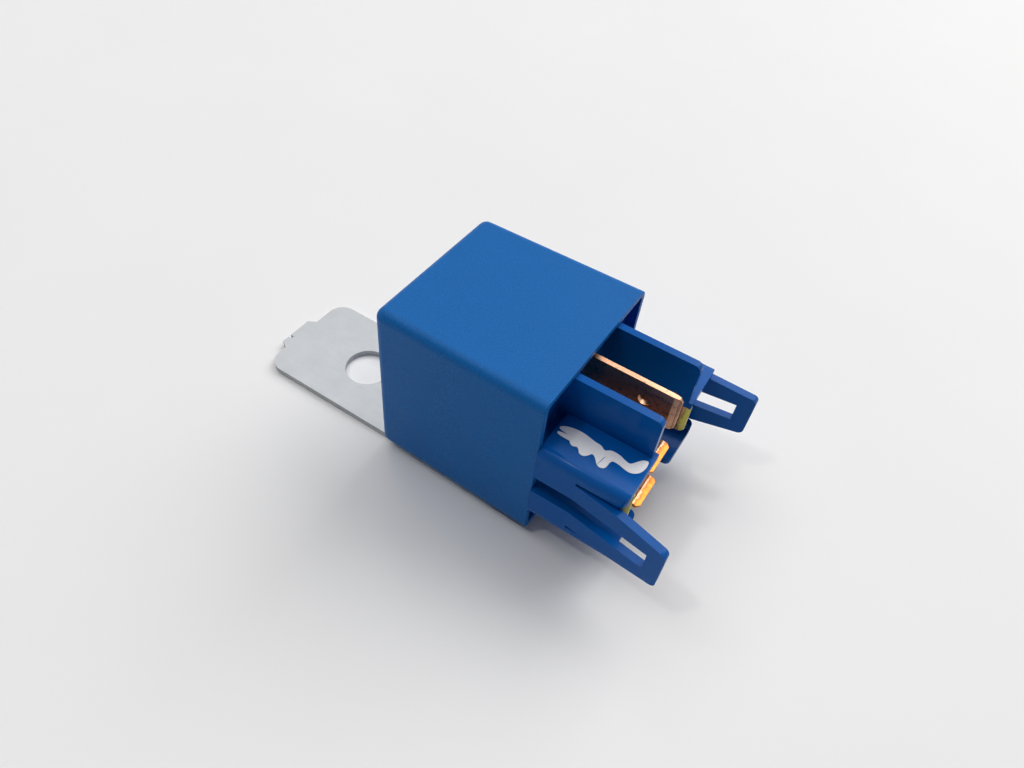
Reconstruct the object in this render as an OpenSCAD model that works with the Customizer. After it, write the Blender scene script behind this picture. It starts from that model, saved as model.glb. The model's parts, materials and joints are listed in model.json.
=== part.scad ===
// Automotive changeover relay: a moulded cover on a steel mounting bracket, a plug-in base with a keyed
// connector shroud and two latch arms, five blades, and the clapper mechanism inside.
// The relay lies on its side. +X runs along its axis towards the blades and +Z is up. The origin is the
// centre of the bracket's hole, on the bracket's underside. All sizes are in millimetres.
// Inside the modules the relay has its own frame: X = 0 at the cover's closed end, Y = 0 on its middle
// plane and Z = 0 at the cover's underside. place() puts that frame over the bracket.

/* [Cover] */
// Length of the cover along the relay's axis
cover_l = 28.4; // [26:0.1:36]
// Width of the cover at its mouth
cover_w = 28.6; // [27.6:0.1:36]
// Height of the cover from its underside to its upper face
cover_h = 29.2; // [28:0.1:36]
// Wall of the cover
cover_wall = 1; // [0.8:0.05:1.2]
// Draft of the cover: how much further out each side stands at the mouth than at the closed end
cover_draft = 0.6; // [0:0.05:0.7]
// Fillet along the cover's four long edges
cover_edge_r = 1; // [0.6:0.1:1.8]
// Fillet round the cover's closed end
cover_end_r = 2; // [1.3:0.1:3]

/* [Bracket] */
// Width of the steel strip
bracket_w = 19.2; // [14:0.1:24]
// Thickness of the steel strip
bracket_t = 1.2; // [0.8:0.1:2]
// Diameter of the mounting hole
hole_d = 8; // [5:0.1:10]
// Distance from the hole's centre to the cover's closed end
hole_to_cover = 11.9; // [11:0.1:20]
// Distance from the hole's centre to the strip's free end
hole_to_end = 14.8; // [12:0.1:20]
// How far the relay's middle plane lies to the side of the hole
relay_offset = 2.7; // [0:0.1:4]
// Corner radius of the strip's free end
bracket_corner_r = 3; // [1:0.1:6]
// Length of the strip under the cover
bracket_under = 22; // [18:0.1:25]
// Diameter of the cover's two staked studs
stud_d = 3; // [2:0.1:4]

/* [Connector shroud] */
// Distance that the shroud stands out from the cover
shroud_l = 13.6; // [12:0.1:18]
// Wall of the shroud
shroud_wall = 1.2; // [0.8:0.05:1.4]
// Outer width of the open trough on top
trough_w = 13.2; // [11.5:0.1:15]
// How much shorter the trough is than the lower part
trough_back = 0.6; // [0:0.1:2]
// Corner radius of the trough's walls at the rim
trough_r = 1; // [0.5:0.1:2]
// How far the lower part stands out beyond the cover's mouth on each side
lower_proud = 0.4; // [0.1:0.1:1]
// Height of the lower part
lower_h = 15.5; // [14.4:0.1:16]
// Corner radius along the lower part
lower_r = 1.5; // [1.5:0.1:3]
// Corner radius at the lower part's rim
rim_r = 1.2; // [0.5:0.1:2]
// Width of the gap in the lower part's underside, over blade 87
tongue_gap = 11.4; // [8:0.1:14]
// Corner radius of the two tongues that the gap leaves
tongue_r = 1; // [0.5:0.1:2]

/* [Latch arms] */
// Reach of the arms beyond the shroud
arm_reach = 7.4; // [5:0.1:10]
// Thickness of an arm
arm_t = 1.3; // [0.9:0.05:1.8]
// Height of an arm at its root
arm_root_h = 10.1; // [8:0.1:11]
// Height of an arm at its tip
arm_h = 8; // [6:0.1:10]
// Distance that an arm's tip stands out from the shroud's side
arm_flare = 2; // [0.5:0.1:4]
// Height of the slot along an arm
arm_slot_h = 3.4; // [1.5:0.1:4]
// Length of the arm that is still part of the shroud's side
arm_root_l = 6.3; // [3:0.1:8]
// Width of the slits that free an arm from the shroud's side
arm_slit = 0.5; // [0.3:0.05:0.8]

/* [Blades] */
// Width of a blade
blade_w = 6.3; // [5:0.1:6.6]
// Thickness of a blade
blade_t = 0.8; // [0.6:0.05:1]
// Distance from a blade's tip back to the shroud's rim
blade_set_back = 0.4; // [0:0.1:3]
// Diameter of the detent hole in a blade
blade_hole_d = 1.8; // [1:0.1:2.2]
// Distance of the two coil blades from the middle plane
coil_blade_y = 9.6; // [9.2:0.1:9.8]
// Depth of the centre blade below the cover's middle
centre_blade_down = 1.4; // [1:0.1:1.6]
// Height of blade 30 above the centre blade
blade_30_up = 10.4; // [10:0.1:10.6]
// Depth of blade 87 below the centre blade
blade_87_down = 9.1; // [8.8:0.1:9.2]

/* [Magnet] */
// Diameter of the iron core
core_d = 5.5; // [4:0.1:6]
// Diameter of the core's pole face
pole_d = 9; // [7:0.1:11]
// Outer diameter of the copper winding
winding_d = 13.6; // [11:0.1:13.8]
// Height of the bobbin's flanges
flange_h = 15.6; // [14.2:0.1:15.8]
// Width of the bobbin's flanges
flange_w = 14; // [13.9:0.1:15]
// Thickness of the yoke
yoke_t = 1.5; // [1.2:0.1:1.7]
// Width of the yoke
yoke_w = 13; // [10:0.1:14]

/* [Switching] */
// Thickness of the armature
armature_t = 1.5; // [1.2:0.1:1.8]
// Width of the armature
armature_w = 12; // [8:0.1:13]
// Angle that the armature swings through, in degrees
swing = 4.2; // [3:0.1:5]
// Thickness of the two leaf springs
leaf_t = 0.3; // [0.15:0.05:0.4]
// Diameter of the contact buttons
button_d = 2.8; // [2.4:0.1:3]
// Thickness of a contact button
button_t = 0.7; // [0.4:0.05:0.9]

/* [Hidden] */
$fn = 48;

// Clearances
fit = 0.05;          // between parts that are pressed or slid together
seat_gap = 0.1;      // between the base and what stands on it
contact_gap = 0.05;  // between two contacts that touch
residual_gap = 0.1;  // between the armature and the pole when it is pulled in
over = 1;            // how far a cut runs past a face

// Colours
blue = [0.10, 0.27, 0.55];
deep_blue = [0.05, 0.20, 0.50];
zinc = [0.74, 0.76, 0.78];
tin_copper = [0.78, 0.50, 0.32];
steel = [0.55, 0.56, 0.58];
silver = [0.85, 0.85, 0.84];
copper = [0.72, 0.35, 0.16];

// Base: a plug inside the cover's mouth, a neck, and the shroud outside
plug_t = 2.5;
mouth_depth = 1.5;
base_in = cover_l - mouth_depth - plug_t;
plug_out = base_in + plug_t;
inner_w = cover_w - 2 * cover_wall;
inner_h = cover_h - 2 * cover_wall;
least_r = 0.3;
inner_edge_r = max(cover_edge_r - cover_wall, least_r);
plug_w = inner_w - 2 * cover_draft * (cover_l - base_in) / (cover_l - cover_end_r) - 2 * fit;
shroud_x0 = cover_l + fit;
shroud_x1 = cover_l + shroud_l;
lower_w = cover_w + 2 * lower_proud;
neck_inset = cover_wall + lower_proud + fit;
mid_z = cover_h / 2 - centre_blade_down;
neck_top = mid_z + lower_h / 2 - neck_inset;
trough_top = cover_h - cover_wall - seat_gap;

// Blades, around the centre one
z_30 = mid_z + blade_30_up;
z_87 = mid_z - blade_87_down;
blade_x1 = shroud_x1 - blade_set_back;
blade_bevel_l = 1.2;
blade_corner = 0.5;
blade_tip_share = 0.4;
blade_tip_t = blade_t * blade_tip_share;
blade_hole_back = 5.1;
blade_neck_l = 2;

// Latch arms
arm_x1 = shroud_x1 + arm_reach;
arm_bend_x = cover_l + arm_root_l;
arm_taper_back = 0.7;
arm_taper_x = shroud_x1 - arm_taper_back;
arm_tip_bar = 2.5;
arm_corner_r = 1;

// Bracket
bracket_end_x = -hole_to_cover - hole_to_end;
bracket_inner_r = 2;
tab_out = 1.4;
tab_y0 = -4.3;
tab_y1 = 2.2;
tab_slope = 0.8;
nick_w = 0.6;
nick_d = 0.7;
nick_y = -2.6;
stud_flare = 0.7;
stud_head_d = stud_d + 2 * stud_flare;
stud_head_t = bracket_t / 2;
stud_in = 5;
stud_back = 4;
stud_xs = [stud_in, bracket_under - stud_back];

// Magnet
coil_up = 0.6;
coil_z = cover_h / 2 + coil_up;
yoke_gap = 0.2;
yoke_under = coil_z + flange_h / 2 + yoke_gap;
yoke_top = yoke_under + yoke_t;
yoke_bend_r = 0.3;
yoke_x1 = base_in - seat_gap;
yoke_leg_drop = 4.2;
yoke_leg_low = mid_z - yoke_leg_drop;
yoke_foot_w = 2;
yoke_foot_l = 1.8;
yoke_foot_y = 4.2;
yoke_foot_up = 5.6;
yoke_foot_z0 = mid_z + yoke_foot_up;
yoke_foot_h = 2.4;
lug_l = 1.2;
lug_w = 1.5;
core_step = 0.75;
core_tail_d = core_d - 2 * core_step;
pole_t = 1;
bobbin_wall = 0.7;
flange_t = 0.85;
flange_corner_r = 1.5;

// Switching parts, given with the armature pulled in, and swung open by swing degrees
carrier_h = 3;
contact_z = z_87 + (blade_t - carrier_h) / 2;
end_clear = 0.8;
nc_x0 = cover_wall + end_clear;
nc_face_x = nc_x0 + blade_t + button_t;
moving_dx = -(residual_gap + armature_t + leaf_t + button_t);
moving_dz = contact_z - yoke_top;
pole_x = nc_face_x + contact_gap - moving_dx * cos(swing) - moving_dz * sin(swing);
nc_z = yoke_top - moving_dx * sin(swing) + moving_dz * cos(swing);
armature_in = pole_x - residual_gap;
armature_out = armature_in - armature_t;
armature_drop = 7;
armature_low = coil_z - armature_drop;
armature_clear = 0.3;
armature_top = yoke_top - armature_clear;
shoulder_z = yoke_under - armature_clear;
no_face_x = armature_out + button_t + contact_gap;
no_x0 = no_face_x + button_t;
button_dome_r = 7;
shank_d = 1.6;
neck_clear = 0.2;
armature_corner_r = 1;
leaf_top_w = 7;
leaf_rim = 0.4;
leaf_end_w = button_d + 2 * leaf_rim;
leaf_margin = 1.6;
leaf_taper = 2;

// Bobbin and winding between the pole and the yoke
flange_x0 = pole_x + pole_t + fit;
flange_x1 = yoke_x1 - yoke_t - fit;
tube_d = core_d + 2 * seat_gap + 2 * bobbin_wall;

// Strips of the terminals inside the cover
strip_w = 5;
strip_gap = 0.9;
side_strip_y = coil_blade_y + blade_t / 2 + strip_gap;
jog_x0 = base_in + strip_gap;
jog_x1 = jog_x0 + blade_t;
jog_clear = 1.4;
jog_low = z_87 + blade_t / 2 + jog_clear;
jog_bar_h = 3;
heel = 3.2;
heel_rise = 0.4;
post_h = 2;
post_l = 6;
post_x0 = base_in - post_l;

// Rivets and the hinge spring
rivet_d = 1.6;
rivet_head_d = 2.4;
rivet_head_t = 0.45;
hinge_spring_w = 7;
finger_gap = 0.35;
finger_x = armature_out - finger_gap;
finger_l = 3.2;
finger_low = yoke_top - finger_l;
hinge_leaf_l = 5.2;
hinge_spring_x1 = pole_x + hinge_leaf_l;
hinge_rivet_in = 3.3;
hinge_rivet_x = pole_x + hinge_rivet_in;
hinge_rivet_y = 2;
tab_l = 9;
tab_x0 = base_in - tab_l;
tab_w = 5.4;
terminal_rivet_back = 1.5;
terminal_rivet_pitch = 3.2;
terminal_rivet_x = flange_x1 - flange_t - terminal_rivet_back;
terminal_rivet_xs = [terminal_rivet_x - terminal_rivet_pitch, terminal_rivet_x];
terminal_rivet_y = 2.4;
spring_rivet_reach = 3.8;
spring_rivet_zs = [coil_z - spring_rivet_reach, coil_z + spring_rivet_reach];

// Wires
lead_d = 0.35;
notch_d = 0.25;
notch_in = 1;
notch_x = post_x0 + notch_in;
resistor_d = 2.3;
resistor_l = 6.3;
resistor_wire_d = 0.6;
resistor_gap = 0.4;
resistor_y = -(coil_blade_y + blade_t / 2 + resistor_d / 2 + resistor_gap);
resistor_in = 3;
resistor_x = post_x0 + resistor_in;
resistor_drop = 2.6;
resistor_top = mid_z - resistor_drop;
resistor_low = resistor_top - resistor_l;
resistor_wire_z = cover_wall + seat_gap + resistor_wire_d;

// ---- helpers ----

// Rectangle with round corners, centred
module round_rect(w, h, r) {
    square([w - 2 * r, h], center = true);
    square([w, h - 2 * r], center = true);
    for (sx = [-1, 1], sy = [-1, 1])
        translate([sx * (w / 2 - r), sy * (h / 2 - r)]) circle(r);
}

// Extrudes a YZ section from x0 to x1
module along_x(x0, x1) {
    translate([x0, 0, 0]) rotate([90, 0, 90]) linear_extrude(x1 - x0) children();
}

// Extrudes an XZ section from y0 to y1
module along_y(y0, y1) {
    translate([0, y1, 0]) rotate([90, 0, 0]) linear_extrude(y1 - y0) children();
}

// Extrudes an XY section from z0 to z1
module along_z(z0, z1) {
    translate([0, 0, z0]) linear_extrude(z1 - z0) children();
}

// Section of a folded strip: leg a along X, leg b along Y, inside radius r, outer corner at the origin
module fold(a, b, t, r) {
    translate([r + t, 0]) square([a - r - t, t]);
    translate([0, r + t]) square([t, b - r - t]);
    translate([r + t, r + t]) intersection() {
        difference() {
            circle(r + t);
            circle(r);
        }
        translate([-r - t, -r - t]) square(r + t);
    }
}

// Block with its long edges and its closed end filleted, open end at x = l
module filleted_block(l, w, h, edge_r, end_r) {
    intersection() {
        along_x(0, l) translate([0, h / 2]) round_rect(w, h, edge_r);
        along_z(0, h) translate([l, 0]) round_rect(2 * l, w, end_r);
        along_y(-w / 2, w / 2) translate([l, h / 2]) round_rect(2 * l, h, end_r);
    }
}

// Filleted block whose sides draw in by draft from its open end to its closed end
module drafted_block(l, w, h, edge_r, end_r, draft) {
    hull() {
        filleted_block(end_r + fit, w - 2 * draft, h, edge_r, end_r);
        along_x(l - fit, l) translate([0, h / 2]) round_rect(w, h, edge_r);
    }
}

// Straight wire from p to q with a round end at q
module wire_piece(p, q, d) {
    v = q - p;
    l = norm(v);
    translate(p) rotate([0, acos(v[2] / l), atan2(v[1], v[0])]) cylinder(d = d, h = l);
    translate(q) sphere(d = d);
}

// Wire through a list of points
module wire(points, d) {
    for (i = [1 : len(points) - 1]) wire_piece(points[i - 1], points[i], d);
}

// Contact button, its back on z = 0 and its domed face at z = t
module button(d, t) {
    intersection() {
        cylinder(d = d, h = t);
        translate([0, 0, t - button_dome_r]) sphere(button_dome_r, $fn = 96);
    }
}

// Rivet along Z that grips from z0 to z1, with a low head at both ends
module rivet(z0, z1) {
    translate([0, 0, z0 - rivet_head_t]) cylinder(d = rivet_head_d, h = rivet_head_t);
    translate([0, 0, z0 - rivet_head_t]) cylinder(d = rivet_d, h = z1 - z0 + 2 * rivet_head_t);
    translate([0, 0, z1]) cylinder(d = rivet_head_d, h = rivet_head_t);
}

// Puts the relay's own frame over the bracket
module place() {
    translate([hole_to_cover, relay_offset, bracket_t]) children();
}

// Swings a piece from the pulled-in position to the released one
module swung_open() {
    translate([pole_x, 0, yoke_top]) rotate([0, swing, 0]) translate([-pole_x, 0, -yoke_top]) children();
}

// ---- cover and bracket ----

// Staked stud of the cover, flush with the strip's underside
module stud(x) {
    translate([x, -relay_offset, -bracket_t]) {
        cylinder(d = stud_d, h = bracket_t + cover_wall / 2);
        cylinder(d1 = stud_head_d, d2 = stud_d, h = stud_head_t);
    }
}

// Its countersunk hole in the strip
module stud_hole(x) {
    translate([x, -relay_offset, -bracket_t - over])
        cylinder(d = stud_d + 2 * fit, h = bracket_t + 2 * over);
    translate([x, -relay_offset, -bracket_t])
        cylinder(d1 = stud_head_d + 2 * fit, d2 = stud_d + 2 * fit, h = stud_head_t);
}

module cover() {
    color(blue) place() {
        difference() {
            drafted_block(cover_l, cover_w, cover_h, cover_edge_r, cover_end_r, cover_draft);
            translate([cover_wall, 0, cover_wall])
                drafted_block(cover_l - cover_wall, inner_w, inner_h, inner_edge_r,
                              cover_end_r - cover_wall, cover_draft);
            along_x(cover_l - over, cover_l + over) translate([0, cover_h / 2])
                square([inner_w, inner_h], center = true);
        }
        for (x = stud_xs) stud(x);
    }
}

// Strip with round corners, larger at its free end
module bracket_strip() {
    l = bracket_under - bracket_end_x;
    translate([bracket_end_x + l / 2, 0]) intersection() {
        translate([l / 4, 0]) round_rect(l * 1.5, bracket_w, bracket_corner_r);
        translate([-l / 4, 0]) round_rect(l * 1.5, bracket_w, bracket_inner_r);
    }
}

// Sheared tab at the strip's free end
module bracket_tab() {
    translate([bracket_end_x, 0])
        polygon([[tab_out, tab_y0 - 2 * tab_slope], [-tab_out, tab_y0],
                 [-tab_out, tab_y1], [tab_out, tab_y1 + 2 * tab_slope]]);
}

module mounting_bracket() {
    color(zinc) place() difference() {
        translate([0, -relay_offset, 0]) {
            along_z(-bracket_t, 0) bracket_strip();
            along_z(-bracket_t, 0) bracket_tab();
        }
        translate([bracket_end_x - tab_out, nick_y - relay_offset, -bracket_t / 2])
            cube([2 * nick_d, nick_w, 2 * bracket_t], center = true);
        translate([-hole_to_cover, -relay_offset, -bracket_t - over])
            cylinder(d = hole_d, h = bracket_t + 2 * over, $fn = 96);
        for (x = stud_xs) stud_hole(x);
    }
}

// ---- base ----

// Section of the shroud's lower part, drawn in by inset
module lower_section(inset) {
    translate([0, mid_z]) round_rect(lower_w - 2 * inset, lower_h - 2 * inset, max(lower_r - inset, least_r));
}

// Section of the trough above it, drawn in by inset, from z0 to z1
module trough_section(inset, z0, z1) {
    w = trough_w - 2 * inset;
    translate([-w / 2, z0]) square([w, z1 - z0]);
}

// Lower part of the shroud, with round corners at its rim
module lower_part() {
    l = shroud_x1 - shroud_x0;
    intersection() {
        along_x(shroud_x0, shroud_x1) lower_section(0);
        along_z(0, cover_h) translate([shroud_x0, 0]) round_rect(2 * l, lower_w, rim_r);
    }
}

// Trough on top of the lower part, from inside the cover to the rim
module trough() {
    l = shroud_x1 - trough_back - plug_out;
    intersection() {
        along_x(plug_out, plug_out + l) trough_section(0, mid_z, trough_top);
        along_y(-trough_w, trough_w) translate([plug_out, mid_z])
            round_rect(2 * l, 2 * (trough_top - mid_z), trough_r);
    }
}

// Gap in the underside of the lower part, with a tongue on each side of it
module underside_gap() {
    z0 = mid_z - lower_h / 2;
    along_z(z0 - over, z0 + shroud_wall + over)
        translate([shroud_x0, -tongue_gap / 2]) square([shroud_l + over, tongue_gap]);
    for (side = [0, 1]) mirror([0, side, 0])
        along_z(z0 - over, z0 + shroud_wall + over)
            translate([shroud_x1 - tongue_r, tongue_gap / 2]) difference() {
                translate([0, -over]) square([tongue_r + over, tongue_r + over]);
                translate([0, tongue_r]) circle(tongue_r);
            }
}

// One latch arm on the +Y side, still without its slot
module latch_arm() {
    side = lower_w / 2;
    tip = side + arm_flare;
    root = arm_root_h / 2;
    intersection() {
        along_z(mid_z - root, mid_z + root)
            polygon([[shroud_x0, side - arm_t], [shroud_x0, side], [arm_bend_x, side], [arm_x1, tip],
                     [arm_x1, tip - arm_t], [arm_bend_x, side - arm_t]]);
        union() {
            along_y(0, lower_w) translate([0, mid_z])
                polygon([[shroud_x0, -root], [arm_taper_x, -root], [arm_x1 - arm_corner_r, -arm_h / 2],
                         [arm_x1 - arm_corner_r, arm_h / 2], [arm_taper_x, root], [shroud_x0, root]]);
            along_y(0, lower_w) translate([shroud_x1, mid_z])
                round_rect(2 * arm_reach, arm_h, arm_corner_r);
        }
    }
}

// Room round an arm in the shroud's side, and the slot along the arm
module arm_window() {
    h = arm_root_h + 2 * arm_slit;
    translate([arm_bend_x, lower_w / 2 - 2 * shroud_wall, mid_z - h / 2])
        cube([shroud_l, 2 * shroud_wall + over, h]);
}

module arm_slot() {
    translate([shroud_x0, lower_w / 2 - 2 * shroud_wall, mid_z - arm_slot_h / 2])
        cube([arm_x1 - arm_tip_bar - shroud_x0, 2 * shroud_wall + arm_flare + over, arm_slot_h]);
}

// Slot for a blade in the base, centred on the X axis and lying flat
module blade_slot() {
    w = blade_w + 2 * fit;
    t = blade_t + 2 * fit;
    translate([base_in - over, -w / 2, -t / 2]) cube([shroud_x0 - base_in + 2 * over, w, t]);
}

// Outline of the plate that takes blade 87a round to the side
module jog_outline(grow) {
    w = strip_w + 2 * grow;
    y1 = side_strip_y + blade_t + grow;
    top = mid_z + blade_t / 2 + grow;
    bar_top = jog_low + jog_bar_h + grow;
    low = contact_z - carrier_h / 2 - grow;
    translate([-w / 2, jog_low - grow]) square([w, top - jog_low + grow]);
    translate([-w / 2, jog_low - grow]) square([y1 + w / 2, bar_top - jog_low + grow]);
    translate([y1 - heel - 2 * grow, low]) square([heel + 2 * grow, bar_top - low]);
}

module base() {
    color(deep_blue) place() {
        difference() {
            union() {
                along_x(base_in, plug_out) translate([0, cover_h / 2])
                    round_rect(plug_w, inner_h - 2 * fit, inner_edge_r);
                along_x(plug_out, shroud_x0) lower_section(neck_inset);
                lower_part();
                trough();
            }
            along_x(shroud_x0, shroud_x1 + over) {
                lower_section(shroud_wall);
                trough_section(shroud_wall, mid_z, trough_top + over);
            }
            along_x(plug_out, shroud_x1) trough_section(shroud_wall, neck_top, trough_top + over);
            underside_gap();
            for (side = [0, 1]) mirror([0, side, 0]) {
                arm_window();
                arm_slot();
            }
            translate([0, 0, z_30]) rotate([90, 0, 0]) blade_slot();
            translate([0, 0, mid_z]) blade_slot();
            translate([0, 0, z_87]) blade_slot();
            for (side = [-1, 1])
                translate([0, side * coil_blade_y, mid_z]) rotate([90, 0, 0]) blade_slot();
            along_x(base_in - over, jog_x1 + seat_gap) jog_outline(seat_gap);
            translate([base_in - over, -blade_t / 2 - fit, yoke_top - fit])
                cube([over + blade_neck_l + 2 * fit, tab_w + 2 * fit, blade_t + 2 * fit + leaf_t]);
            for (side = [-1, 1]) yoke_foot(side, fit);
        }
        for (side = [0, 1]) mirror([0, side, 0]) difference() {
            latch_arm();
            arm_slot();
        }
    }
}

// ---- terminals ----

// Flat blade along X, centred on Z = 0, from x0 to the tip
module blade(x0) {
    w = blade_w / 2;
    t = blade_t / 2;
    difference() {
        intersection() {
            along_z(-t, t)
                polygon([[x0, -w], [blade_x1 - blade_corner, -w], [blade_x1, blade_corner - w],
                         [blade_x1, w - blade_corner], [blade_x1 - blade_corner, w], [x0, w]]);
            along_y(-w, w)
                polygon([[x0, -t], [blade_x1 - blade_bevel_l, -t], [blade_x1, -blade_tip_t / 2],
                         [blade_x1, blade_tip_t / 2], [blade_x1 - blade_bevel_l, t], [x0, t]]);
        }
        translate([blade_x1 - blade_hole_back, 0, -over]) cylinder(d = blade_hole_d, h = 2 * over);
    }
}

// Hole for a contact's shank through a strip in the YZ plane
module shank_hole(x0, z) {
    translate([x0 - over, 0, z]) rotate([0, 90, 0]) cylinder(d = shank_d + 2 * fit, h = 2 * over + blade_t);
}

// Blade 30, folded over at its neck to lie on the yoke
module terminal_30() {
    neck_x0 = base_in + fit;
    neck_x1 = neck_x0 + blade_neck_l;
    fold_r = fit;
    color(tin_copper) place() difference() {
        union() {
            translate([0, 0, z_30]) rotate([90, 0, 0]) blade(neck_x1);
            along_x(neck_x0, neck_x1 + fit) translate([-blade_t / 2, yoke_top + blade_t])
                mirror([0, 1]) fold(tab_w, yoke_top + blade_t - z_30 + blade_w / 2, blade_t, fold_r);
            translate([tab_x0, fold_r + blade_t / 2, yoke_top])
                cube([neck_x1 - tab_x0, tab_w - blade_t - fold_r, blade_t]);
        }
        for (x = terminal_rivet_xs)
            translate([x, terminal_rivet_y, yoke_top - over])
                cylinder(d = rivet_d + 2 * fit, h = blade_t + 2 * over);
    }
}

// Blade 87 with its strip under the coil, folded down to carry the normally open contact
module terminal_87() {
    color(tin_copper) place() {
        translate([0, 0, z_87]) blade(base_in + blade_neck_l);
        difference() {
            along_y(-strip_w / 2, strip_w / 2)
                translate([no_x0, z_87 + blade_t / 2]) mirror([0, 1])
                    fold(base_in + blade_neck_l + fit - no_x0, carrier_h, blade_t, leaf_t);
            shank_hole(no_x0, contact_z);
        }
    }
}

// Blade 87a, taken round the coil to carry the normally closed contact
module terminal_87a() {
    y1 = side_strip_y + blade_t;
    z0 = contact_z - carrier_h / 2;
    z1 = contact_z + carrier_h / 2 + heel_rise;
    color(tin_copper) place() {
        translate([0, 0, mid_z]) blade(jog_x0 + fit);
        along_x(jog_x0, jog_x1) difference() {
            jog_outline(0);
            translate([y1 - blade_t - leaf_t, z0 - over]) square([blade_t + leaf_t + over, cover_h]);
        }
        along_z(z0, z1) translate([jog_x1, y1]) rotate(180)
            fold(jog_x1 - nc_x0 - blade_t - leaf_t, heel - blade_t, blade_t, leaf_t);
        difference() {
            along_z(z0, z1) translate([nc_x0, y1]) mirror([0, 1])
                fold(heel, y1 + carrier_h / 2, blade_t, leaf_t);
            shank_hole(nc_x0, nc_z);
        }
    }
}

// Coil blade with its post beside the coil, side is 1 for 85 and -1 for 86
module coil_terminal(side) {
    color(tin_copper) place() translate([0, side * coil_blade_y, mid_z]) {
        rotate([90, 0, 0]) blade(base_in + blade_neck_l);
        along_y(-blade_t / 2, blade_t / 2) difference() {
            translate([post_x0, -post_h / 2]) square([post_l + blade_neck_l + fit, post_h]);
            for (s = [-1, 1])
                translate([notch_x, s * post_h / 2]) square([2 * lead_d, 2 * notch_d], center = true);
        }
    }
}

module terminal_85() coil_terminal(1);

module terminal_86() coil_terminal(-1);

// ---- magnet ----

module bobbin() {
    color("ivory") place() translate([0, 0, coil_z]) difference() {
        union() {
            along_x(flange_x0, flange_x1) circle(d = tube_d);
            along_x(flange_x0, flange_x0 + flange_t) round_rect(flange_w, flange_h, flange_corner_r);
            along_x(flange_x1 - flange_t, flange_x1) round_rect(flange_w, flange_h, flange_corner_r);
        }
        along_x(flange_x0 - over, flange_x1 + over) circle(d = core_d + 2 * seat_gap);
    }
}

module coil_winding() {
    color(copper) place() translate([0, 0, coil_z])
        along_x(flange_x0 + flange_t + fit, flange_x1 - flange_t - fit) difference() {
            circle(d = winding_d, $fn = 96);
            circle(d = tube_d + 2 * fit);
        }
}

module core() {
    color(steel) place() translate([0, 0, coil_z]) {
        along_x(pole_x, pole_x + pole_t) circle(d = pole_d);
        along_x(pole_x, yoke_x1 - yoke_t) circle(d = core_d);
        along_x(pole_x, yoke_x1) circle(d = core_tail_d);
    }
}

// Foot of the yoke's leg in the base, or its slot when play is more than 0
module yoke_foot(side, play) {
    w = yoke_foot_w + 2 * play;
    translate([yoke_x1 - yoke_t, side * yoke_foot_y - w / 2, yoke_foot_z0 - play])
        cube([yoke_t + seat_gap + yoke_foot_l + play, w, yoke_foot_h + 2 * play]);
}

module yoke() {
    color(steel) place() difference() {
        union() {
            along_y(-yoke_w / 2, yoke_w / 2) translate([yoke_x1, yoke_top]) rotate(180)
                fold(yoke_x1 - pole_x, yoke_top - yoke_leg_low, yoke_t, yoke_bend_r);
            for (side = [-1, 1]) {
                translate([pole_x - lug_l, side * (yoke_w - lug_w) / 2 - lug_w / 2, yoke_under])
                    cube([lug_l + over, lug_w, yoke_t]);
                intersection() {
                    yoke_foot(side, 0);
                    translate([0, -cover_w / 2, 0]) cube([base_in + yoke_foot_l, cover_w, cover_h]);
                }
            }
        }
        along_x(yoke_x1 - yoke_t - over, yoke_x1 + over) translate([0, coil_z])
            circle(d = core_tail_d + 2 * fit);
        for (x = terminal_rivet_xs) yoke_rivet_hole(x, terminal_rivet_y);
        for (side = [-1, 1]) yoke_rivet_hole(hinge_rivet_x, side * hinge_rivet_y);
    }
}

module yoke_rivet_hole(x, y) {
    translate([x, y, yoke_under - over]) cylinder(d = rivet_d + 2 * fit, h = yoke_t + 2 * over);
}

// ---- switching parts ----

module armature() {
    neck_w = yoke_w - 2 * lug_w - 2 * neck_clear;
    color(steel) place() swung_open() along_x(armature_out, armature_in) difference() {
        union() {
            translate([0, (armature_low + shoulder_z) / 2])
                round_rect(armature_w, shoulder_z - armature_low, armature_corner_r);
            translate([-neck_w / 2, shoulder_z - over]) square([neck_w, armature_top - shoulder_z + over]);
        }
        for (z = spring_rivet_zs) translate([0, z]) circle(d = rivet_d + 2 * fit);
    }
}

// Leaf on the armature that carries the moving contact
module contact_spring() {
    top = spring_rivet_zs[1] + leaf_margin;
    low = contact_z - leaf_end_w / 2;
    wide = leaf_top_w / 2;
    narrow = leaf_end_w / 4;
    x0 = armature_out - leaf_t;
    color(tin_copper) place() swung_open() difference() {
        union() {
            along_x(x0, armature_out)
                polygon([[-wide, top], [wide, top], [wide, armature_low + leaf_taper / 2],
                         [narrow, armature_low - leaf_taper], [-narrow, armature_low - leaf_taper],
                         [-wide, armature_low + leaf_taper / 2]]);
            along_x(x0, armature_out) translate([0, (low + armature_low) / 2])
                round_rect(leaf_end_w, armature_low - low, leaf_end_w / 2 - fit);
        }
        along_x(x0 - over, armature_out + over) {
            translate([0, contact_z]) circle(d = shank_d + 2 * fit);
            for (z = spring_rivet_zs) translate([0, z]) circle(d = rivet_d + 2 * fit);
        }
    }
}

module spring_rivets() {
    color(steel) place() swung_open() for (z = spring_rivet_zs) translate([0, 0, z]) {
        along_x(armature_out - leaf_t - rivet_head_t, armature_in) circle(d = rivet_d);
        along_x(armature_out - leaf_t - rivet_head_t, armature_out - leaf_t) circle(d = rivet_head_d);
    }
}

module moving_contact() {
    color(silver) place() swung_open() translate([armature_out, 0, contact_z]) {
        rotate([0, 90, 0]) button(button_d, button_t);
        translate([-leaf_t, 0, 0]) rotate([0, -90, 0]) button(button_d, button_t);
        along_x(-leaf_t, 0) circle(d = shank_d);
    }
}

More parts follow.
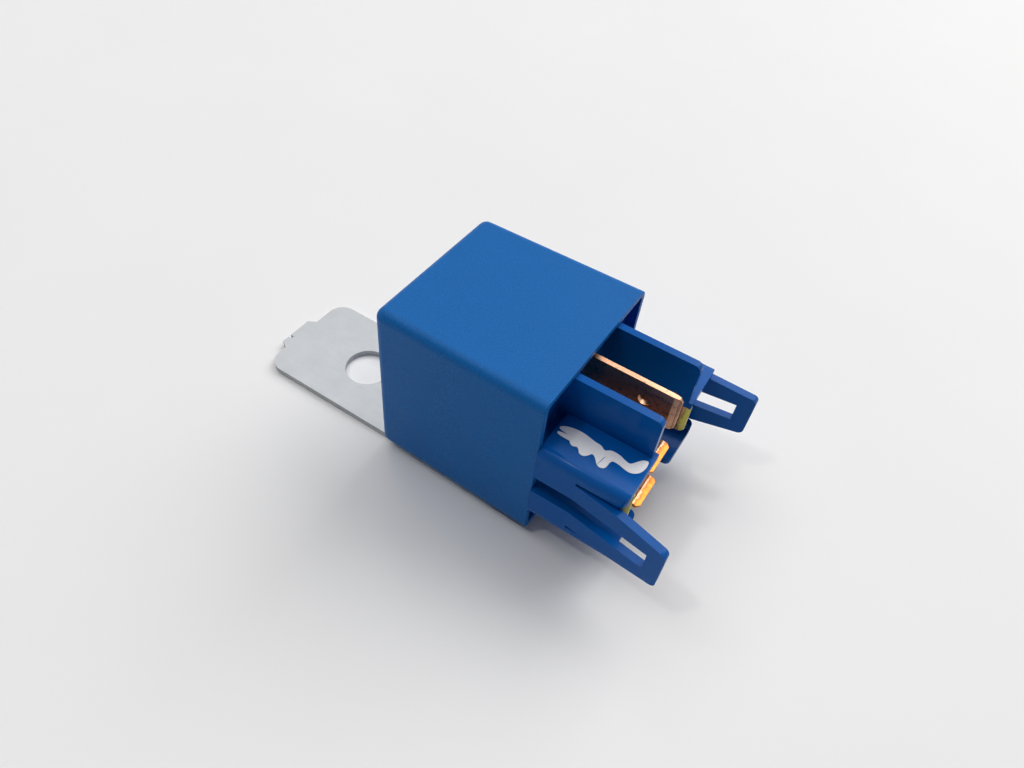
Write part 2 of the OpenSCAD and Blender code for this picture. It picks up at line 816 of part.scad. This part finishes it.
module hinge_spring() {
    color(tin_copper) place() difference() {
        along_y(-hinge_spring_w / 2, hinge_spring_w / 2)
            translate([finger_x - leaf_t, yoke_top + leaf_t]) mirror([0, 1])
                fold(hinge_spring_x1 - finger_x, yoke_top + leaf_t - finger_low, leaf_t, leaf_t);
        for (side = [-1, 1])
            translate([hinge_rivet_x, side * hinge_rivet_y, yoke_top - over])
                cylinder(d = rivet_d + 2 * fit, h = 2 * over);
    }
}

module hinge_rivets() {
    color(steel) place() for (side = [-1, 1])
        translate([hinge_rivet_x, side * hinge_rivet_y, 0]) rivet(yoke_under, yoke_top + leaf_t);
}

module terminal_rivets() {
    color(steel) place() for (x = terminal_rivet_xs)
        translate([x, terminal_rivet_y, 0]) rivet(yoke_under, yoke_top + blade_t);
}

module no_contact() {
    color(silver) place() translate([no_x0, 0, contact_z]) {
        rotate([0, -90, 0]) button(button_d, button_t);
        along_x(0, blade_t) circle(d = shank_d);
    }
}

module nc_contact() {
    color(silver) place() translate([nc_x0 + blade_t, 0, nc_z]) {
        rotate([0, 90, 0]) button(button_d, button_t);
        along_x(-blade_t, 0) circle(d = shank_d);
    }
}

// ---- wires ----

// Magnet wire from the winding's side to a post, hooked round the post in its notches
module coil_lead(side) {
    up = post_h / 2 + lead_d / 2 - notch_d + fit;
    out = blade_t / 2 + lead_d / 2 + fit;
    start_y = sqrt(pow(winding_d / 2, 2) - pow(coil_z - mid_z - up, 2)) + fit;
    color(copper) place() mirror([0, side < 0 ? 1 : 0, 0])
        wire([[notch_x, start_y, mid_z + up], [notch_x, coil_blade_y + out, mid_z + up],
              [notch_x, coil_blade_y + out, mid_z - up], [notch_x, coil_blade_y - out, mid_z - up]],
             lead_d, $fn = 24);
}

module coil_lead_85() coil_lead(1);

module coil_lead_86() coil_lead(-1);

// Resistor across the coil, soldered to both posts
module suppression_resistor() {
    end_y = coil_blade_y + (blade_t + resistor_wire_d) / 2 + fit;
    color("tan") place() {
        translate([resistor_x, resistor_y, resistor_low]) cylinder(d = resistor_d, h = resistor_l);
        wire([[resistor_x, resistor_y, resistor_top], [resistor_x, resistor_y, mid_z],
              [resistor_x, -end_y, mid_z]], resistor_wire_d, $fn = 24);
        wire([[resistor_x, resistor_y, resistor_low], [resistor_x, resistor_y, resistor_wire_z],
              [resistor_x, coil_blade_y, resistor_wire_z], [resistor_x, coil_blade_y, mid_z - post_h]],
             resistor_wire_d, $fn = 24);
    }
}

cover();
mounting_bracket();
base();
terminal_30();
terminal_87();
terminal_87a();
terminal_85();
terminal_86();
bobbin();
coil_winding();
core();
yoke();
armature();
contact_spring();
spring_rivets();
moving_contact();
hinge_spring();
hinge_rivets();
terminal_rivets();
no_contact();
nc_contact();
coil_lead_85();
coil_lead_86();
suppression_resistor();
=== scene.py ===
import json
import math

import bmesh
import bpy
from mathutils import Matrix, Vector


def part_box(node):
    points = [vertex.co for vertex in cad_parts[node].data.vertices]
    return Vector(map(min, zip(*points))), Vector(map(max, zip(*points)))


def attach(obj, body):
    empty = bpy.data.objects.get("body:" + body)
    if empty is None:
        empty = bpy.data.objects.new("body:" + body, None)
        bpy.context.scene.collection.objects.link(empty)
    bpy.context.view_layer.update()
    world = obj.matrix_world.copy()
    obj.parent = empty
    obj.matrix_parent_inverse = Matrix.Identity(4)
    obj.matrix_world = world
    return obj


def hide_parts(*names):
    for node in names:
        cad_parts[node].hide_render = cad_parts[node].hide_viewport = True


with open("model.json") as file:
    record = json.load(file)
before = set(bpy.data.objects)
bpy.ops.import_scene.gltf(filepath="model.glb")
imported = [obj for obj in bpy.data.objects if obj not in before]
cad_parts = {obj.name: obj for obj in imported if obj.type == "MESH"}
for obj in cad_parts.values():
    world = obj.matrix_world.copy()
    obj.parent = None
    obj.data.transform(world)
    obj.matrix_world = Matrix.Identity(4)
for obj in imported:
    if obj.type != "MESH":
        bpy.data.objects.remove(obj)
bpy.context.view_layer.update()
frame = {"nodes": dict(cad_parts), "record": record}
nodes = frame["nodes"]
scene = bpy.context.scene
MM = 0.001

# ---- places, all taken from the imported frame, in metres ----

cover_lo, cover_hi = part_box("cover")
bracket_lo, bracket_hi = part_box("mounting_bracket")
winding_lo, winding_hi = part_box("coil_winding")
resistor_lo, resistor_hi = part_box("suppression_resistor")
centre = (cover_lo + cover_hi) / 2
mouth = Vector((cover_hi.x, centre.y, bracket_hi.z))

# ---- colours ----

COVER_BLUE = (0.006, 0.120, 0.390)
BASE_BLUE = (0.001, 0.090, 0.360)
ZINC = (0.39, 0.405, 0.42)
COPPER = (0.62, 0.33, 0.20)
# Colours painted at the blade tips; the orange one is partly bare metal and partly a painted
# highlight on the tip bevels
BROWN_TIP = (0.50, 0.27, 0.16)
ORANGE_TIP_BARE_AND_HIGHLIGHT = (0.60, 0.19, 0.035)
YELLOW_TIP = (0.56, 0.50, 0.13)
TIN = (0.62, 0.62, 0.60)
IRON = (0.42, 0.43, 0.44)
COPPER_WIRE = (0.62, 0.22, 0.07)
BRONZE = (0.66, 0.42, 0.19)
SILVER = (0.80, 0.79, 0.76)
NYLON = (0.66, 0.60, 0.44)
RESISTOR_TAN = (0.50, 0.36, 0.20)
BAND_BLUE = (0.02, 0.06, 0.35)
BAND_GREY = (0.16, 0.17, 0.18)
BAND_BROWN = (0.14, 0.05, 0.02)
BAND_GOLD = (0.55, 0.36, 0.08)
PAINT_WHITE = (0.80, 0.80, 0.83)
FLOOR_PALE = (0.85, 0.845, 0.845)
FLOOR_SHADE = (0.835, 0.83, 0.83)


# ---- node material helpers ----

# Range that holds most of a noise factor
NOISE_RANGE = (0.3, 0.7)
NOISE_ROUGHNESS = 0.55


def new_material(name, color, metallic=0.0, roughness=0.5, specular=0.5):
    """An opaque Principled material. Returns it with its node tree and shader."""
    mat = bpy.data.materials.new(name)
    mat.use_nodes = True
    shader = mat.node_tree.nodes["Principled BSDF"]
    shader.inputs["Base Color"].default_value = (*color, 1)
    shader.inputs["Metallic"].default_value = metallic
    shader.inputs["Roughness"].default_value = roughness
    shader.inputs["Specular IOR Level"].default_value = specular
    return mat, mat.node_tree, shader


def place_of(tree):
    """The object's own coordinates, in metres."""
    return tree.nodes.new("ShaderNodeTexCoord").outputs["Object"]


def axis_of(tree, axis):
    """One of the object's own coordinates: X, Y or Z."""
    split = tree.nodes.new("ShaderNodeSeparateXYZ")
    tree.links.new(place_of(tree), split.inputs["Vector"])
    return split.outputs[axis]


def noise(tree, scale, detail, stretch=(1, 1, 1)):
    """Noise over the object's own coordinates, scale in features per metre. Returns its factor."""
    mapping = tree.nodes.new("ShaderNodeMapping")
    mapping.inputs["Scale"].default_value = stretch
    tex = tree.nodes.new("ShaderNodeTexNoise")
    tex.inputs["Scale"].default_value = scale
    tex.inputs["Detail"].default_value = detail
    tex.inputs["Roughness"].default_value = NOISE_ROUGHNESS
    tree.links.new(place_of(tree), mapping.inputs["Vector"])
    tree.links.new(mapping.outputs["Vector"], tex.inputs["Vector"])
    return tex.outputs["Fac"]


def ramp(tree, factor, stops, interpolation="LINEAR"):
    """Colour ramp through (position, colour) stops."""
    node = tree.nodes.new("ShaderNodeValToRGB")
    band = node.color_ramp
    band.interpolation = interpolation
    while len(band.elements) < len(stops):
        band.elements.new(0.5)
    for element, (position, color) in zip(band.elements, stops):
        element.position = position
        element.color = (*color, 1)
    tree.links.new(factor, node.inputs["Fac"])
    return node.outputs["Color"]


def tint(tree, factor, low, high):
    """Runs from one colour to the other over the range of a noise factor."""
    return ramp(tree, factor, list(zip(NOISE_RANGE, (low, high))))


def spread(tree, factor, low, high, source=NOISE_RANGE):
    """Maps a factor from the source range to low..high."""
    node = tree.nodes.new("ShaderNodeMapRange")
    node.inputs["From Min"].default_value = source[0]
    node.inputs["From Max"].default_value = source[1]
    node.inputs["To Min"].default_value = low
    node.inputs["To Max"].default_value = high
    tree.links.new(factor, node.inputs["Value"])
    return node.outputs["Result"]


def math_node(tree, operation, first, second):
    """A Math node. Each operand is a socket or a number."""
    node = tree.nodes.new("ShaderNodeMath")
    node.operation = operation
    for socket, value in zip(node.inputs, (first, second)):
        if isinstance(value, (int, float)):
            socket.default_value = value
        else:
            tree.links.new(value, socket)
    return node.outputs["Value"]


def mix(tree, factor, first, second, blend="MIX"):
    """Mixes two colours, sockets or plain ones, by a factor that is a socket or a number."""
    node = tree.nodes.new("ShaderNodeMix")
    node.data_type = "RGBA"
    node.blend_type = blend
    if isinstance(factor, (int, float)):
        node.inputs["Factor"].default_value = factor
    else:
        tree.links.new(factor, node.inputs["Factor"])
    for name, value in (("A", first), ("B", second)):
        socket = next(s for s in node.inputs if s.name == name and s.type == "RGBA")
        if isinstance(value, tuple):
            socket.default_value = (*value, 1)
        else:
            tree.links.new(value, socket)
    return next(s for s in node.outputs if s.type == "RGBA")


def bump(tree, shader, height, depth):
    """Gives the shader bumps of that depth, in metres."""
    node = tree.nodes.new("ShaderNodeBump")
    node.inputs["Distance"].default_value = depth
    tree.links.new(height, node.inputs["Height"])
    tree.links.new(node.outputs["Normal"], shader.inputs["Normal"])


def shade(color, amount):
    """A colour made lighter (amount over 1) or darker."""
    return tuple(min(1.0, c * amount) for c in color)


# ---- materials ----

# Stretch of the rolling marks, which run along its low axis
ROLLED = (0.12, 1, 1)


def plastic(name, color, roughness, grain=0.006, speckle=0.06, specular=0.5):
    """Moulded plastic: slight clouding, a fine speckle, uneven gloss and a fine grain."""
    mat, tree, shader = new_material(name, color, roughness=roughness, specular=specular)
    clouds = tint(tree, noise(tree, 110, detail=5), shade(color, 0.98), shade(color, 1.02))
    dots = tint(tree, noise(tree, 5200, detail=2), (1 - speckle,) * 3, (1 + speckle,) * 3)
    gloss = spread(tree, noise(tree, 260, detail=6), roughness - 0.02, roughness + 0.02)
    tree.links.new(mix(tree, 1.0, clouds, dots, "MULTIPLY"), shader.inputs["Base Color"])
    tree.links.new(gloss, shader.inputs["Roughness"])
    bump(tree, shader, noise(tree, 4200, detail=2), grain * MM)
    return mat


def metal(name, color, roughness, streak=(1, 1, 1), wear=0.1, metallic=1.0):
    """Bare or plated metal: mottling, uneven gloss and fine rolling marks."""
    mat, tree, shader = new_material(name, color, metallic=metallic, roughness=roughness)
    mottle = tint(tree, noise(tree, 350, detail=6), shade(color, 1 - wear), shade(color, 1 + wear))
    gloss = spread(tree, noise(tree, 2200, detail=5, stretch=streak),
                   roughness - 0.04, roughness + 0.06)
    tree.links.new(mottle, shader.inputs["Base Color"])
    tree.links.new(gloss, shader.inputs["Roughness"])
    bump(tree, shader, noise(tree, 2500, detail=3, stretch=streak), 0.003 * MM)
    return mat


def blade_metal(name, face, wear, reach, node):
    """Copper alloy strip, tarnished on its faces. Paints a tip colour over that reach of it at its
    tip, on 87 and 87a partly a painted highlight.
    """
    mat, tree, shader = new_material(name, face, metallic=1.0, roughness=0.3)
    tip_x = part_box(node)[1].x
    near_tip = spread(tree, axis_of(tree, "X"), 0, 1, (tip_x - reach, tip_x))
    ragged = spread(tree, noise(tree, 1400, detail=5), -0.3, 0.3)
    edge = math_node(tree, "ADD", near_tip, ragged)
    tarnish = ramp(tree, noise(tree, 420, detail=6, stretch=(0.4, 1, 1)),
                   [(0.3, shade(face, 0.8)), (0.55, face), (0.75, shade(face, 1.12))])
    # The tip colour, darkened where it starts; on 87 and 87a it is partly a painted highlight on
    # the bevels
    tip = ramp(tree, edge, [(0.3, shade(wear, 0.4)), (0.6, wear)])
    color = mix(tree, spread(tree, edge, 0, 1, (0.1, 0.35)), tarnish, tip)
    gloss = spread(tree, noise(tree, 1100, detail=5, stretch=ROLLED), 0.24, 0.4)
    tree.links.new(color, shader.inputs["Base Color"])
    tree.links.new(gloss, shader.inputs["Roughness"])
    bump(tree, shader, noise(tree, 2600, detail=3, stretch=ROLLED), 0.002 * MM)
    return mat


# Length of the resistor's bare wire below and above its coated body
RESISTOR_WIRE = 2.9 * MM
RESISTOR_BODY = (resistor_lo.z + RESISTOR_WIRE, resistor_hi.z - RESISTOR_WIRE)
# Where each colour starts, as a share of the coated body's height
RESISTOR_BANDS = [
    (0.0, RESISTOR_TAN), (0.14, BAND_BLUE), (0.22, RESISTOR_TAN), (0.32, BAND_GREY),
    (0.40, RESISTOR_TAN), (0.50, BAND_BROWN), (0.58, RESISTOR_TAN), (0.78, BAND_GOLD),
    (0.86, RESISTOR_TAN),
]


def resistor_coat(name):
    """Tan coated resistor with plain colour bands, and tinned wires round it."""
    mat, tree, shader = new_material(name, RESISTOR_TAN, roughness=0.45)
    radius = (resistor_hi.x - resistor_lo.x) / 2
    low, high = RESISTOR_BODY
    margin = 0.01 * MM
    body_far_y = resistor_lo.y + 2.2 * radius
    along = axis_of(tree, "Z")
    bands = ramp(tree, spread(tree, along, 0, 1, (low, high)), RESISTOR_BANDS, "CONSTANT")
    above = math_node(tree, "GREATER_THAN", along, low - margin)
    below = math_node(tree, "LESS_THAN", along, high + margin)
    beside = math_node(tree, "LESS_THAN", axis_of(tree, "Y"), body_far_y)
    body = math_node(tree, "MULTIPLY", math_node(tree, "MULTIPLY", above, below), beside)
    gloss = spread(tree, noise(tree, 900, detail=4), 0.36, 0.5)
    tree.links.new(mix(tree, body, TIN, bands), shader.inputs["Base Color"])
    tree.links.new(math_node(tree, "SUBTRACT", 1.0, body), shader.inputs["Metallic"])
    tree.links.new(gloss, shader.inputs["Roughness"])
    bump(tree, shader, noise(tree, 1500, detail=3), 0.006 * MM)
    return mat


MATERIALS = {
    "cover_plastic": plastic("cover_plastic", COVER_BLUE, 0.45, grain=0.012, speckle=0.2,
                             specular=0.12),
    "base_plastic": plastic("base_plastic", BASE_BLUE, 0.2, grain=0.001, speckle=0.03,
                            specular=0.1),
    "bobbin_plastic": plastic("bobbin_plastic", NYLON, 0.5),
    "zinc_plated_steel": metal("zinc_plated_steel", ZINC, 0.5, streak=ROLLED, wear=0.04,
                               metallic=0.6),
    "enamelled_copper": metal("enamelled_copper", COPPER_WIRE, 0.32),
    "iron": metal("iron", IRON, 0.38, streak=(0.2, 1, 1)),
    "spring_bronze": metal("spring_bronze", BRONZE, 0.28, streak=(1, 1, 0.15)),
    "rivet_steel": metal("rivet_steel", IRON, 0.32),
    "contact_silver": metal("contact_silver", SILVER, 0.3),
    "resistor_body": resistor_coat("resistor_body"),
    "white_paint": plastic("white_paint", PAINT_WHITE, 0.6, grain=0.02, speckle=0.04),
}
# Colour painted at each blade's tip, and how far it reaches; the orange of 87 and 87a is partly
# bare metal, partly a painted highlight on the tip bevels
BLADE_TIPS = {
    "terminal_30": (BROWN_TIP, 0.5 * MM),
    "terminal_87": (ORANGE_TIP_BARE_AND_HIGHLIGHT, 1.2 * MM),
    "terminal_87a": (ORANGE_TIP_BARE_AND_HIGHLIGHT, 1.2 * MM),
    "terminal_85": (YELLOW_TIP, 1.5 * MM),
    "terminal_86": (YELLOW_TIP, 1.5 * MM),
}


# ---- CAD nodes ----

REPLACED = ("cover", "coil_winding")
SMOOTH_ANGLE = math.radians(32)
# Width of the rounded edges, by node
EDGES = {"base": 0.16 * MM, "mounting_bracket": 0.1 * MM}
FINE_EDGE = 0.04 * MM


def round_edges(obj, width):
    """Adds narrow rounded edges. Returns the modifier."""
    bevel = obj.modifiers.new("edge", "BEVEL")
    bevel.width = width
    bevel.segments = 3
    bevel.limit_method = "ANGLE"
    bevel.angle_limit = SMOOTH_ANGLE
    return bevel


def finish_node(name, slot):
    """Gives a CAD node its material and narrow rounded edges."""
    obj = nodes[name]
    obj.data.materials.clear()
    if name in BLADE_TIPS:
        metal_strip = blade_metal(name + "_metal", COPPER, *BLADE_TIPS[name], name)
        obj.data.materials.append(metal_strip)
    else:
        obj.data.materials.append(MATERIALS[slot])
    weld = obj.modifiers.new("weld", "WELD")
    weld.merge_threshold = 0.001 * MM
    round_edges(obj, EDGES.get(name, FINE_EDGE)).harden_normals = True


for entry in frame["record"]["subparts"]:
    if entry["node"] not in REPLACED:
        finish_node(entry["node"], entry["material_slot"])


# ---- pieces of their own ----

def mesh_from(bm, name, merge):
    """Merges points that lie that close, turns the faces outwards and returns the mesh."""
    bmesh.ops.remove_doubles(bm, verts=bm.verts, dist=merge)
    bmesh.ops.recalc_face_normals(bm, faces=bm.faces)
    mesh = bpy.data.meshes.new(name)
    bm.to_mesh(mesh)
    bm.free()
    return mesh


def add_piece(name, mesh, slot):
    """Puts a mesh in the scene as a piece that rides on the relay."""
    obj = bpy.data.objects.new(name, mesh)
    scene.collection.objects.link(obj)
    mesh.materials.clear()
    mesh.materials.append(MATERIALS[slot])
    mesh.shade_smooth()
    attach(obj, "relay")
    return obj


def skin(bm, rings):
    """Closed skin through rings of points, capped at both ends."""
    loops = [[bm.verts.new(point) for point in ring] for ring in rings]
    for near, far in zip(loops, loops[1:]):
        for i in range(len(near)):
            j = (i + 1) % len(near)
            bm.faces.new((near[i], near[j], far[j], far[i]))
    bm.faces.new(loops[0])
    bm.faces.new(loops[-1])


# The real cover is rounder than the CAD one: these are its outer radii, wall and fine edges
COVER_END_R = 1.6 * MM
COVER_MOUTH_R = 1.5 * MM
COVER_WALL = 1.0 * MM
COVER_EDGE = 0.12 * MM
# How much narrower each side is at the closed end than at the mouth
COVER_NARROWING = 0.6 * MM
# Steps in each quarter turn of the cover's rounding
QUARTER_STEPS = 8
# The staked studs stand that far in from the cover's closed end and from the strip's end
STUD_XS = (cover_lo.x + 5 * MM, bracket_hi.x - 4 * MM)
STUD_SIDES = 64
# Radius and height above the strip's underside, in millimetres
STUD_PROFILE = [(2.2, 0.0), (1.5, 0.6), (1.5, 1.7)]


def across_cover(x, inset, radius):
    """Rounded rectangle of points across the cover at x, set in from its drafted outer faces."""
    straight = cover_hi.x - cover_lo.x - COVER_END_R
    share = max(0.0, (x - cover_lo.x - COVER_END_R) / straight)
    side = inset + COVER_NARROWING * (1 - share) + radius
    rise = inset + radius
    corners = [(cover_hi.y - side, cover_hi.z - rise), (cover_lo.y + side, cover_hi.z - rise),
               (cover_lo.y + side, bracket_hi.z + rise), (cover_hi.y - side, bracket_hi.z + rise)]
    points = []
    for quarter, (y, z) in enumerate(corners):
        for step in range(QUARTER_STEPS + 1):
            angle = math.pi / 2 * (quarter + step / QUARTER_STEPS)
            points.append((x, y + radius * math.cos(angle), z + radius * math.sin(angle)))
    return points


def cover_end(start_x, inset, radius):
    """Rings over the cover's closed end, with ball corners of that radius, from its flat on."""
    rings = []
    for step in range(QUARTER_STEPS + 1):
        angle = math.pi / 2 * (1 - step / QUARTER_STEPS)
        rings.append(across_cover(start_x + radius * (1 - math.sin(angle)),
                                  inset + radius * (1 - math.cos(angle)),
                                  radius * math.cos(angle)))
    return rings


def add_cover():
    """Cover as one wall with ball corners at its closed end, and its staked studs."""
    bm = bmesh.new()
    outside = cover_end(cover_lo.x, 0, COVER_END_R)
    mouth_rings = [across_cover(cover_hi.x, 0, COVER_MOUTH_R),
                   across_cover(cover_hi.x, COVER_WALL, COVER_MOUTH_R - COVER_WALL)]
    inside = cover_end(cover_lo.x + COVER_WALL, COVER_WALL, COVER_END_R - COVER_WALL)
    skin(bm, outside + mouth_rings + inside[::-1])
    for x in STUD_XS:
        skin(bm, [[(x + radius * MM * math.cos(2 * math.pi * i / STUD_SIDES),
                    centre.y + radius * MM * math.sin(2 * math.pi * i / STUD_SIDES),
                    bracket_lo.z + height * MM) for i in range(STUD_SIDES)]
                  for radius, height in STUD_PROFILE])
    mesh = mesh_from(bm, "moulded_cover", 0.002 * MM)
    piece = add_piece("moulded_cover", mesh, "cover_plastic")
    round_edges(piece, COVER_EDGE)
    weighted = piece.modifiers.new("weighted", "WEIGHTED_NORMAL")
    weighted.weight = 100
    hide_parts("cover")


# Thickness of the coil's wire, rows of points across one turn of it, and points in each row
WIRE = 0.2 * MM
WIRE_STEPS = 6
WINDING_SIDES = 72
WINDING_INNER_R = 3.6 * MM


def add_winding():
    """Outer layer of the coil as one helix of wire round the bobbin, closed by its end rings."""
    axis_y = (winding_lo.y + winding_hi.y) / 2
    axis_z = (winding_lo.z + winding_hi.z) / 2
    outer = (winding_hi.z - winding_lo.z) / 2
    turns = math.ceil((winding_hi.x - winding_lo.x) / WIRE) + 1
    bm = bmesh.new()

    def ring(row, flat_radius=None):
        """One ring of points, skewed by a turn's pitch so that the turns run on as a helix."""
        points = []
        for side in range(WINDING_SIDES):
            round_share = side / WINDING_SIDES
            angle = 2 * math.pi * side / WINDING_SIDES
            along = winding_lo.x + WIRE * (row / WIRE_STEPS + round_share - 1)
            x = min(max(along, winding_lo.x), winding_hi.x)
            across = 2 * (((x - winding_lo.x) / WIRE - round_share) % 1) - 1
            dip = WIRE / 2 * (1 - math.sqrt(max(0.0, 1 - across * across)))
            radius = flat_radius or outer - dip
            points.append(bm.verts.new((x, axis_y + radius * math.cos(angle),
                                        axis_z + radius * math.sin(angle))))
        return points

    rows = [ring(row) for row in range(turns * WIRE_STEPS + 1)]
    rows = [ring(0, WINDING_INNER_R)] + rows + [ring(turns * WIRE_STEPS, WINDING_INNER_R)]
    for near, far in zip(rows, rows[1:] + rows[:1]):
        for side in range(WINDING_SIDES):
            after = (side + 1) % WINDING_SIDES
            bm.faces.new((near[side], near[after], far[after], far[side]))
    mesh = mesh_from(bm, "winding_turns", 0.0005 * MM)
    piece = add_piece("winding_turns", mesh, "enamelled_copper")
    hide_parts("coil_winding")


# Outline of the white smear on the base, from the middle of the cover's mouth, in millimetres
SMEAR = [
    (0.4, -9.5), (1.0, -8.9), (2.5, -8.5), (3.9, -8.5), (5.4, -8.8), (6.5, -8.9), (7.3, -9.3),
    (8.1, -8.8), (9.3, -8.8), (10.2, -9.1), (11.1, -9.2), (11.8, -8.3), (12.3, -7.7),
    (12.9, -7.5), (13.1, -8.0), (13.1, -8.8), (12.8, -9.7), (12.2, -10.3), (11.5, -10.5),
    (10.7, -10.4), (9.9, -10.2), (9.1, -10.2), (8.8, -10.6), (8.7, -11.6), (8.4, -12.0),
    (7.9, -12.1), (7.4, -11.8), (6.8, -11.1), (6.2, -10.8), (5.8, -11.4), (5.3, -11.8),
    (4.7, -11.7), (4.4, -11.3), (4.0, -11.0), (3.4, -11.2), (2.9, -11.0), (2.6, -10.7),
    (1.8, -10.7), (0.8, -10.6), (0.7, -10.2), (2.1, -9.9), (1.0, -9.8),
]
# Bare nick inside the smear, and a place on the flat top near its middle
SMEAR_NICK = [(7.5, -11.7), (7.6, -11.8), (7.9, -10.3), (7.8, -10.2)]
SMEAR_MIDDLE = (6.4, -10.0, 0)
SMEAR_HALF_THICKNESS = 0.03 * MM
SMEAR_STEPS = 5


def rounded(points):
    """Closed smooth curve (Catmull-Rom) through the points."""
    result = []
    count = len(points)
    for i in range(count):
        before, start, end, after = (Vector(points[(i + k) % count]) for k in (-1, 0, 1, 2))
        for step in range(SMEAR_STEPS):
            t = step / SMEAR_STEPS
            result.append(0.5 * (2 * start + (end - before) * t
                                 + (2 * before - 5 * start + 4 * end - after) * t * t
                                 + (3 * start - before - 3 * end + after) * t ** 3))
    return result


def add_smear():
    """Dab of white paint on the flat top of the base."""
    middle = mouth + Vector(SMEAR_MIDDLE) * MM
    above = Vector((middle.x, middle.y, cover_hi.z))
    top = nodes["base"].ray_cast(above, Vector((0, 0, -1)))[1].z
    curve = bpy.data.curves.new("paint_smear", "CURVE")
    curve.dimensions = "2D"
    curve.fill_mode = "BOTH"
    curve.extrude = SMEAR_HALF_THICKNESS
    curve.bevel_depth = SMEAR_HALF_THICKNESS
    curve.bevel_resolution = 2
    for outline in (rounded(SMEAR), rounded(SMEAR_NICK)):
        spline = curve.splines.new("POLY")
        spline.points.add(len(outline) - 1)
        spline.use_cyclic_u = True
        for point, place in zip(spline.points, outline):
            point.co = (mouth.x + place.x * MM, mouth.y + place.y * MM, 0, 1)
    drawn = bpy.data.objects.new("paint_outline", curve)
    mesh = bpy.data.meshes.new_from_object(drawn)
    mesh.name = "paint_smear"
    mesh.transform(Matrix.Translation((0, 0, top + SMEAR_HALF_THICKNESS)))
    bpy.data.objects.remove(drawn)
    add_piece("paint_smear", mesh, "white_paint")


add_cover()
add_winding()
add_smear()


# ---- floor, light and camera ----

FLOOR_SIZE = 6.0
FLOOR_GAP = 0.02 * MM


def make_floor():
    """Pale plain table top under the bracket."""
    bpy.ops.mesh.primitive_plane_add(size=FLOOR_SIZE,
                                     location=(centre.x, centre.y, bracket_lo.z - FLOOR_GAP))
    floor = bpy.context.object
    floor.name = "floor"
    mat, tree, shader = new_material("floor_paint", FLOOR_PALE, roughness=0.6, specular=0.25)
    tree.links.new(tint(tree, noise(tree, 25, detail=5), FLOOR_SHADE, FLOOR_PALE),
                   shader.inputs["Base Color"])
    floor.data.materials.append(mat)


def make_area(name, offset, size, power):
    """Square soft box at an offset from the relay, facing it, in metres and watts."""
    data = bpy.data.lights.new(name, "AREA")
    data.size = size
    data.energy = power
    lamp = bpy.data.objects.new(name, data)
    scene.collection.objects.link(lamp)
    lamp.location = centre + Vector(offset)
    lamp.rotation_euler = (-Vector(offset)).to_track_quat("-Z", "Y").to_euler()


def make_world(fill, backdrop):
    """Even white surroundings: a dim fill, seen as a pale backdrop by the camera and in metal."""
    world = bpy.data.worlds.new("studio")
    scene.world = world
    world.use_nodes = True
    tree = world.node_tree
    background = tree.nodes["Background"]
    background.inputs["Color"].default_value = (1, 1, 1, 1)
    path = tree.nodes.new("ShaderNodeLightPath")
    seen = math_node(tree, "MAXIMUM", path.outputs["Is Camera Ray"], path.outputs["Is Glossy Ray"])
    seen = math_node(tree, "MAXIMUM", seen, path.outputs["Is Transmission Ray"])
    tree.links.new(spread(tree, seen, fill, backdrop, (0, 1)), background.inputs["Strength"])


def make_camera(place, azimuth, elevation, roll, lens):
    """Camera as in the photograph. Place and lens are in millimetres, the angles in degrees."""
    data = bpy.data.cameras.new("camera")
    data.sensor_width = 36
    data.lens = lens
    data.clip_start = 1 * MM
    camera = bpy.data.objects.new("camera", data)
    scene.collection.objects.link(camera)
    turn = (Matrix.Rotation(math.radians(azimuth), 4, "Z")
            @ Matrix.Rotation(math.pi / 2 - math.radians(elevation), 4, "X")
            @ Matrix.Rotation(math.radians(roll), 4, "Z"))
    camera.matrix_world = Matrix.Translation(Vector(place) * MM) @ turn
    scene.camera = camera


make_floor()
make_area("window", offset=(0.45, 1.20, 1.25), size=1.4, power=23.0)
make_area("ceiling", offset=(-0.55, 0.15, 1.55), size=1.6, power=15.0)
make_area("edge_light", offset=(-0.36, -0.42, 1.05), size=0.09, power=1.2)
make_world(fill=0.08, backdrop=0.85)
make_camera(place=(64.60, -68.03, 104.01), azimuth=27.59, elevation=48.65, roll=7.14, lens=27.04)
scene.view_settings.view_transform = "Standard"
